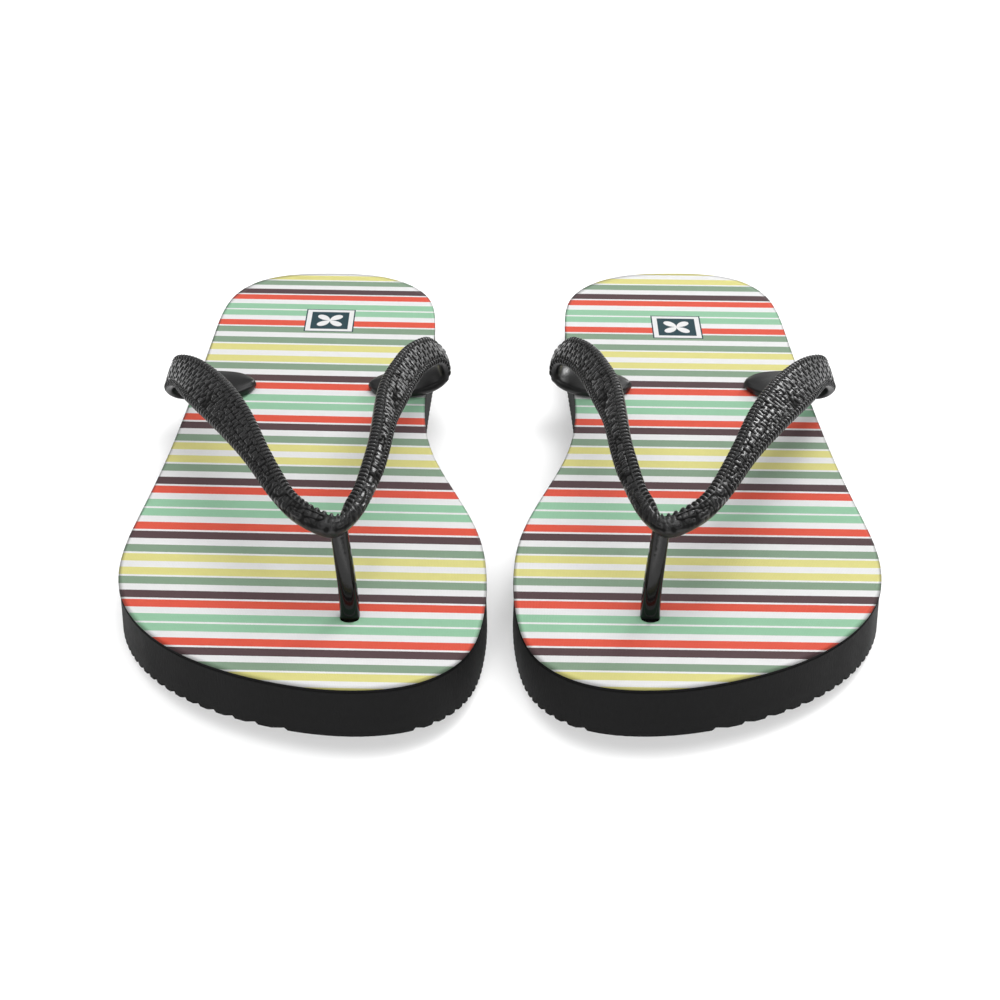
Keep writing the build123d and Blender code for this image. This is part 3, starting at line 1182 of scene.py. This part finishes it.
@dataclass
class Strap:
    """One shoe's moulded strap: the band with its two loops and tongues, and the two rear stems."""

    sole: SoleShape
    emboss: Emboss
    row_step: float = 0.22 * MM
    tongue_step: float = 0.8 * MM
    across_outer: int = 37
    across_inner: int = 9
    corner_points: int = 5
    corner_share: float = 0.84
    edge_angle: float = 0.9
    crown: float = 0.3 * MM
    tongue_crown: float = 0.8 * MM
    tip_rounding: float = 1.6 * MM
    loop_start: float = 92.0 * MM
    loop_full: float = 120.0 * MM
    emboss_end: float = 150.0 * MM
    emboss_fade: float = 8.0 * MM
    stem_diameter: float = 7.0 * MM
    head: StemHead = field(default_factory=StemHead)
    tongue_thickness: float = 2.8 * MM
    rear_stems: tuple[tuple[float, float], ...] = ((-88.0 * MM, 43.0 * MM), (-37.0 * MM, 43.5 * MM))

    def stations(self) -> tuple[SmoothCurve, float]:
        """The band's course from the outer tip by the V to the inner tip.

        Returns:
            A curve of front edge, back edge and thickness over the distance along the band, and
            that distance at the V.
        """
        outer = np.array([(*front, *back, thick) for front, back, thick in OUTER_ARM_MM]) * MM
        inner = np.array([(*front, *back, thick) for front, back, thick in INNER_ARM_MM]) * MM
        rows = np.vstack([outer[:0:-1], (outer[:1] + inner[:1]) / 2, inner[1:]])
        for column in (1, 4):
            rows[:, column + 1] += self.sole.height(rows[:, column], self.sole.thickness)
        middle = (rows[:, 0:3] + rows[:, 3:6]) / 2
        knots = np.concatenate([[0], np.cumsum(np.linalg.norm(np.diff(middle, axis=0), axis=1))])
        return SmoothCurve(rows, knots), float(knots[len(outer) - 1])

    def section(self) -> tuple[np.ndarray, np.ndarray, np.ndarray, np.ndarray]:
        """The band's cross-section as a closed loop, from the front edge over the outer face.

        Formula: a point is (cx (a - r) + ex r, cy (b - r) + ey r) for half width a, half thickness
        b and corner radius r. On the two faces ex is 0, and round a corner (ex, ey) is its angle.

        Returns:
            cx, ex, cy and ey of each point of the loop.
        """
        over, under = np.linspace(-1, 1, self.across_outer), np.linspace(1, -1, self.across_inner)
        turn = np.linspace(0, np.pi / 2, self.corner_points + 1)
        late, early = turn[1:], turn[:-1]
        one = np.ones(self.corner_points)
        cx = np.concatenate([over, one, one, under, -one[1:], -one])
        ex = np.concatenate([over * 0, np.sin(late), np.cos(early), under * 0, -np.sin(late[:-1]),
                             -np.cos(early)])
        cy = np.concatenate([over * 0 + 1, one, -one, under * 0 - 1, -one[1:], one])
        ey = np.concatenate([over * 0 + 1, np.cos(late), -np.sin(early), under * 0 - 1, -np.cos(late[:-1]),
                             np.sin(early)])
        return cx, ex, cy, ey

    def rows(self, end: float, middle: float) -> np.ndarray:
        """Distances of the rings along the band, close together where it is embossed.

        Args:
            end: length of the band.
            middle: distance of the V.

        Returns:
            The distance of each ring from the band's first tip.
        """
        fine = np.arange(self.tip_rounding * 0.01, end - self.tip_rounding * 0.01, 0.05 * MM)
        from_tip = np.minimum(fine, end - fine)
        plain = smooth_step(0.0, 10 * MM, np.abs(fine - middle) - self.emboss_end)
        plain *= smooth_step(0.5 * self.tip_rounding, 3 * self.tip_rounding, from_tip)
        step = self.row_step + (self.tongue_step - self.row_step) * plain
        count = np.cumsum(1 / step)
        wanted = np.linspace(count[0], count[-1], int((count[-1] - count[0]) * (fine[1] - fine[0])))
        return np.interp(wanted, count, fine)

    def band(self) -> Surface:
        """The whole band: its cross-section carried along its course, with the relief on it.

        Formula: at each distance the section stands on the line between the band's two edges, with
        its outer face along (direction of travel) x (front edge to back edge). The relief moves
        each point along the section's own outward direction. Towards each tip the section shrinks
        as the end of an ellipse.

        Returns:
            The right shoe's band as one closed surface.
        """
        course, v_place = self.stations()
        end = course.knots[-1]
        along = self.rows(end, v_place)
        data = course.at(along)
        front, back, thick = data[:, 0:3], data[:, 3:6], data[:, 6]
        middle = (front + back) / 2
        travel = np.gradient(middle, along, axis=0)
        width = unit(back - front)
        outward = unit(np.cross(travel, width))
        to_tip = np.minimum(along, end - along)
        shrink = np.sqrt(1 - (1 - np.clip(to_tip / self.tip_rounding, 0, 1)) ** 2)
        a = (np.linalg.norm(back - front, axis=1) / 2 * shrink)[:, None]
        b = (thick / 2 * shrink)[:, None]
        r = self.corner_share * np.minimum(a, b)
        cx, ex, cy, ey = self.section()
        x, y = cx * (a - r) + ex * r, cy * (b - r) + ey * r
        on_face = (ex == 0) & (cy > 0)
        arch = (1 - (x / np.maximum(a - r, 1e-9)) ** 2) * shrink[:, None]
        y = y + np.where(on_face, self.crown * arch, 0.0)
        angle = np.arctan2(np.abs(ex), np.where(cy > 0, ey, -1.0))
        edge = (np.where(on_face, a - r - np.abs(x), 0.0)
                + r * (self.edge_angle - np.where(on_face, 0.0, angle)))
        edge = np.where(cy > 0, edge, -1.0)
        place = (along - v_place)[:, None]
        loop = smooth_step(self.loop_start, self.loop_full, np.abs(place))
        shown = 1 - smooth_step(self.emboss_end - self.emboss_fade, self.emboss_end, np.abs(place))
        on_top = (ex == 0) & (cy < 0)
        lies = smooth_step(self.emboss_end - 12 * MM, self.emboss_end + 4 * MM, np.abs(place))
        y = y - np.where(on_top, self.tongue_crown * lies * arch, 0.0)
        relief = self.emboss.height(place + 0 * x, x, edge, loop) * shown * np.where(cy > 0, 1.0, 0.0)
        x, y = x + ex * relief, y + ey * relief
        surface = Surface.tube(middle[:, None] + x[..., None] * width[:, None]
                               + y[..., None] * outward[:, None])
        surface.relief = np.pad(relief.ravel(), (0, len(surface.points) - relief.size))
        return surface

    def stems(self) -> Surface:
        """The two rear stems, each from its head in the tread up into its tongue.

        Returns:
            The right shoe's two stems.
        """
        top = self.sole.thickness + self.tongue_thickness / 2
        surface = Surface.joined([self.head.with_stem(self.sole, spot, self.stem_diameter, top)
                                  for spot in self.rear_stems])
        surface.relief = np.zeros(len(surface.points))
        return surface

    def build(self, shoe: Shoe, finish: bpy.types.Material) -> list[bpy.types.Object]:
        """Makes the band and the stems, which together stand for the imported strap.

        Args:
            shoe: the shoe to make it for.
            finish: its material.

        Returns:
            The two new pieces.
        """
        pieces = []
        for name, surface in (("strap_band", self.band()), ("strap_stems", self.stems())):
            piece = surface.mirrored(shoe).build(shoe.node(name), [finish])
            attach(piece, shoe.body)
            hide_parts(shoe.node("strap"))
            pieces.append(piece)
        return pieces


@dataclass
class ToePost:
    """The glossy post between the toes, with the stem and head that hold it in the sole."""

    sole: SoleShape
    head: StemHead = field(default_factory=StemHead)
    base: tuple[float, float] = (-41.2 * MM, -94.0 * MM)
    top: Point = (-43.6 * MM, -87.5 * MM, 25.6 * MM)
    top_lean: Point = (-0.1, 0.25, 1.0)
    bottom_diameter: float = 5.6 * MM
    top_diameter: float = 4.8 * MM
    stem_diameter: float = 5.0 * MM
    squareness: float = 2.5
    slimness: float = 0.985
    sunk: float = 0.12 * MM
    stem_below: float = 0.3 * MM
    rings: int = 60
    around: int = 64

    def rod(self) -> Surface:
        """The post above the footbed.

        Formula: its middle line is the cubic with the given ends and end directions. Round it runs
        a circle pressed a little square: radius / (|cos|^n + |sin|^n)^(1/n). It narrows evenly to
        the top and its lower edge is rounded.

        Returns:
            The right shoe's post as one closed surface.
        """
        thick, tilt = self.sole.thickness, self.sole.tilt(self.base[1])
        foot = np.array([self.base[0], *self.sole.carried(self.base[1], thick)])
        head = np.array(self.top) + [0, 0, self.sole.height(self.top[1], 0.0) + thick]
        length = np.linalg.norm(head - foot)
        out = np.array([0, math.sin(tilt), math.cos(tilt)]) * length
        into = unit(np.array(self.top_lean)) * length
        t = np.linspace(-self.sunk / length, 1, self.rings)[:, None]
        line = (foot * (1 + 2 * t) * (1 - t) ** 2 + out * t * (1 - t) ** 2
                + head * t**2 * (3 - 2 * t) - into * t**2 * (1 - t))
        travel = unit(np.gradient(line, axis=0))
        side = unit(np.cross(travel, np.array([0.0, 1.0, 0.0])))
        front = np.cross(side, travel)
        angle = np.linspace(0, 2 * np.pi, self.around, endpoint=False)
        shape = 1 / (np.abs(np.cos(angle)) ** self.squareness
                     + np.abs(np.sin(angle)) ** self.squareness) ** (1 / self.squareness)
        radius_at = (self.bottom_diameter + t * (self.top_diameter - self.bottom_diameter)) / 2
        spread = radius_at * shape * self.slimness
        rings = (line[:, None] + (spread * np.cos(angle))[..., None] * side[:, None]
                 + (spread * np.sin(angle))[..., None] * front[:, None])
        return Surface.tube(rings)

    def build(self, shoe: Shoe, finish: bpy.types.Material) -> bpy.types.Object:
        """Makes the post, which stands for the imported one.

        Args:
            shoe: the shoe to make it for.
            finish: its material.

        Returns:
            The new piece.
        """
        stem = self.head.with_stem(self.sole, self.base, self.stem_diameter,
                                   self.sole.thickness - self.stem_below)
        surface = Surface.joined([self.rod(), stem]).mirrored(shoe)
        piece = surface.build(shoe.node("post_rod"), [finish])
        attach(piece, shoe.body)
        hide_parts(shoe.node("toe_post"))
        return piece


@dataclass
class PrintedTop:
    """The printed cloth that is bonded to the foam, with a hole for each stem."""

    sole: SoleShape
    strap: Strap
    post: ToePost
    rounding: float = 0.25 * MM
    spread: int = 44
    hole_room: float = 0.15 * MM
    cutter_reach: float = 5 * MM
    cutter_around: int = 48

    def holes(self) -> Surface:
        """A round cutter for each stem, taller than the cloth.

        Returns:
            The three cutters as one surface.
        """
        cutters = []
        spots = [(spot, self.strap.stem_diameter) for spot in self.strap.rear_stems]
        for (x, y), diameter in [*spots, (self.post.base, self.post.stem_diameter)]:
            rim = diameter / 2 + self.hole_room
            low = float(self.sole.height(y, self.sole.thickness)) - self.cutter_reach
            rings = lathe(np.array([[rim, low], [rim, low + 2 * self.cutter_reach]]), self.cutter_around)
            cutters.append(Surface.tube(rings + np.array([x, y, 0.0])))
        return Surface.joined(cutters)

    def build(self, shoe: Shoe, print_finish: bpy.types.Material,
              backing: bpy.types.Material) -> bpy.types.Object:
        """Args:
            shoe: the shoe to make it for.
            print_finish: material of the printed face.
            backing: material of its edge and back.

        Returns:
            The new piece.
        """
        low = self.sole.thickness - self.sole.cloth_thickness
        surface = self.sole.slab(low, self.sole.thickness, self.rounding, self.spread)
        surface = surface.mirrored(shoe)
        if shoe is Shoe.LEFT:
            surface.print_place = surface.print_place * np.array([-1.0, 1.0])
        piece = surface.build(shoe.node("printed_cloth"), [print_finish, backing])
        cut_holes(piece, self.holes().mirrored(shoe))
        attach(piece, shoe.body)
        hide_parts(shoe.node("top_cloth"))
        rim, _ = self.sole.rim()
        return piece


def cut_holes(piece: bpy.types.Object, cutter: Surface) -> None:
    """Cuts the cutter's shape out of a piece and keeps the result as its mesh.

    Args:
        piece: the piece to cut.
        cutter: the shape to take out of it.
    """
    tool = cutter.build("cutter", [])
    cut = piece.modifiers.new("holes", "BOOLEAN")
    cut.operation, cut.solver, cut.object = "DIFFERENCE", "EXACT", tool
    whole = piece.data
    shown = piece.evaluated_get(bpy.context.evaluated_depsgraph_get())
    piece.data = bpy.data.meshes.new_from_object(shown)
    piece.data.name = piece.name
    piece.modifiers.clear()
    bpy.data.meshes.remove(whole)
    bpy.data.meshes.remove(tool.data)


def dress(shoe: Shoe, part: str, finish: bpy.types.Material) -> None:
    """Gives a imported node, which stays as it is, its finish.

    Args:
        shoe: the shoe that the node belongs to.
        part: the node's part.
        finish: its material.
    """
    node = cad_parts[shoe.node(part)]
    node.data.materials.clear()
    node.data.materials.append(finish)


# --- the studio -----------------------------------------------------------------------------------


@dataclass(frozen=True)
class Lamp:
    """A soft light: where it stands, its width and height, its power in watts, and what it lights."""

    name: str
    place: Point
    size: tuple[float, float]
    power: float
    floor_only: bool = False


LAMPS = (
    Lamp("dome_light", (0.0, 0.0, 1.60), (2.40, 2.40), 19.0),
    Lamp("key_light", (0.40, 0.25, 1.35), (0.90, 0.90), 6.0),
    Lamp("rim_light", (0.60, 1.00, 0.50), (0.50, 0.30), 6.0),
    Lamp("front_light", (-0.30, -1.30, 0.50), (0.10, 0.70), 3.0),
    Lamp("floor_light", (0.0, 0.0, 1.70), (2.60, 2.60), 8.0, floor_only=True),
    Lamp("low_floor_light", (0.0, -1.50, 0.35), (1.60, 0.30), 42.0, floor_only=True),
)


@dataclass
class Studio:
    """White floor, soft light for the shoes, lights that only whiten the floor, and the camera."""

    floor_half: float = 4.0
    floor_cells: int = 8
    fill: float = 0.30
    backdrop: float = 1.0
    camera_place: Point = (0.0, -0.54955, 0.3374)
    camera_pitch: float = math.radians(31.68)
    lens: float = 72.91
    sensor: float = 36.0

    def floor(self, finish: bpy.types.Material) -> bpy.types.Object:
        """A flat square, cut in small squares.

        Args:
            finish: its material.

        Returns:
            The floor.
        """
        line = self.floor_cells + 1
        side = np.linspace(-self.floor_half, self.floor_half, line)
        x, y = np.meshgrid(side, side)
        points = np.stack([x, y, 0 * x], axis=-1).reshape(-1, 3)
        cell = np.arange(self.floor_cells)
        first = cell[:, None] * line + cell[None, :]
        quads = np.stack([first, first + 1, first + line + 1, first + line], axis=-1).reshape(-1, 4)
        piece = Surface(points, quads).build("studio_floor", [finish])
        return piece

    def place_lamp(self, lamp: Lamp, floor: bpy.types.Object) -> None:
        """Makes a lamp, turned to the middle of the floor.

        Args:
            lamp: the lamp to make.
            floor: the only piece that a floor lamp lights.
        """
        light = bpy.data.lights.new(lamp.name, "AREA")
        light.shape, light.size, light.size_y, light.energy = "RECTANGLE", *lamp.size, lamp.power
        stand = bpy.data.objects.new(lamp.name, light)
        stand.location = lamp.place
        x, y, z = lamp.place
        stand.rotation_euler = (math.atan2(math.hypot(x, y), z), 0.0, math.atan2(-x, y) + math.pi)
        bpy.context.scene.collection.objects.link(stand)
        if lamp.floor_only:
            lit = bpy.data.collections.new(f"lit by {lamp.name}")
            lit.objects.link(floor)
            stand.light_linking.receiver_collection = lit

    def light(self, floor: bpy.types.Object) -> None:
        """Even fill all round, a white backdrop where the camera sees past the floor, and the lamps.

        Args:
            floor: the floor, for the lamps that light only it.
        """
        world = bpy.data.worlds.new("studio")
        world.use_nodes = True
        graph = Graph(world.node_tree)
        sky = graph.add("ShaderNodeBackground")
        sky.inputs["Color"].default_value = (1.0, 1.0, 1.0, 1.0)
        seen = graph.add("ShaderNodeLightPath").outputs["Is Camera Ray"]
        graph.feed(sky.inputs["Strength"], graph.remap(seen, 0.0, 1.0, self.fill, self.backdrop))
        graph.feed(graph.add("ShaderNodeOutputWorld").inputs["Surface"], sky.outputs["Background"])
        bpy.context.scene.world = world
        for lamp in LAMPS:
            self.place_lamp(lamp, floor)

    def camera(self) -> None:
        """The camera, level from side to side and pitched down."""
        lens = bpy.data.cameras.new("camera")
        lens.lens, lens.sensor_width = self.lens, self.sensor
        lens.clip_start, lens.clip_end = 0.01, 50.0
        camera = bpy.data.objects.new("camera", lens)
        camera.location = self.camera_place
        camera.rotation_euler = (math.pi / 2 - self.camera_pitch, 0.0, 0.0)
        bpy.context.scene.collection.objects.link(camera)
        bpy.context.scene.camera = camera
        bpy.context.scene.view_settings.view_transform = "Standard"


def main() -> None:
    """Builds the finishes, both shoes and the studio."""
    logging.basicConfig(level=logging.INFO, format="%(name)s: %(message)s")
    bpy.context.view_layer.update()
    grain, weave = make_rubber_grain(), make_weave()
    foam = BlackRubber(grain, shade=0.006, gloss=0.12, roughness=(0.62, 0.80), fineness=2600.0,
                       relief=0.10 * MM, squeeze=(1.0, 1.0, 0.22)).material("cut_foam")
    tread = BlackRubber(grain, shade=0.006, gloss=0.12, roughness=(0.60, 0.78), fineness=2200.0,
                        relief=0.08 * MM, squeeze=(1.0, 1.0, 0.5)).material("tread_rubber")
    moulded = BlackRubber(grain, shade=0.009, gloss=0.38, roughness=(0.20, 0.32), fineness=3000.0,
                          relief=0.05 * MM, carved=(-0.30 * MM, 0.08 * MM)).material("embossed_rubber")
    glossy = BlackRubber(grain, shade=0.003, gloss=0.28, roughness=(0.08, 0.13), fineness=900.0,
                         relief=0.01 * MM).material("gloss_rubber")
    floor_white = StudioWhite().material("studio_white")
    prints = {
        Shoe.RIGHT: StripePrint(weave),
        Shoe.LEFT: StripePrint(weave, turned=math.radians(1.76), first_line=32.1 * MM,
                               half_repeat=32.57 * MM, stretch=0.15, heel_press=0.4,
                               label_place=(62.1 * MM, 88.7 * MM)),
    }
    sole = SoleShape()
    strap, post = Strap(sole, Emboss()), ToePost(sole)
    top = PrintedTop(sole, strap, post)
    for shoe in Shoe:
        cloth = top.build(shoe, prints[shoe].material(shoe.node("stripe_print")), foam)
        made = [cloth, *strap.build(shoe, moulded), post.build(shoe, glossy)]
        dress(shoe, "midsole", foam)
        dress(shoe, "outsole", tread)
        for piece in made:
            LOG.info("%s: %d faces", piece.name, len(piece.data.polygons))
    studio = Studio()
    studio.light(studio.floor(floor_white))
    studio.camera()


if __name__ == "__main__":
    main()
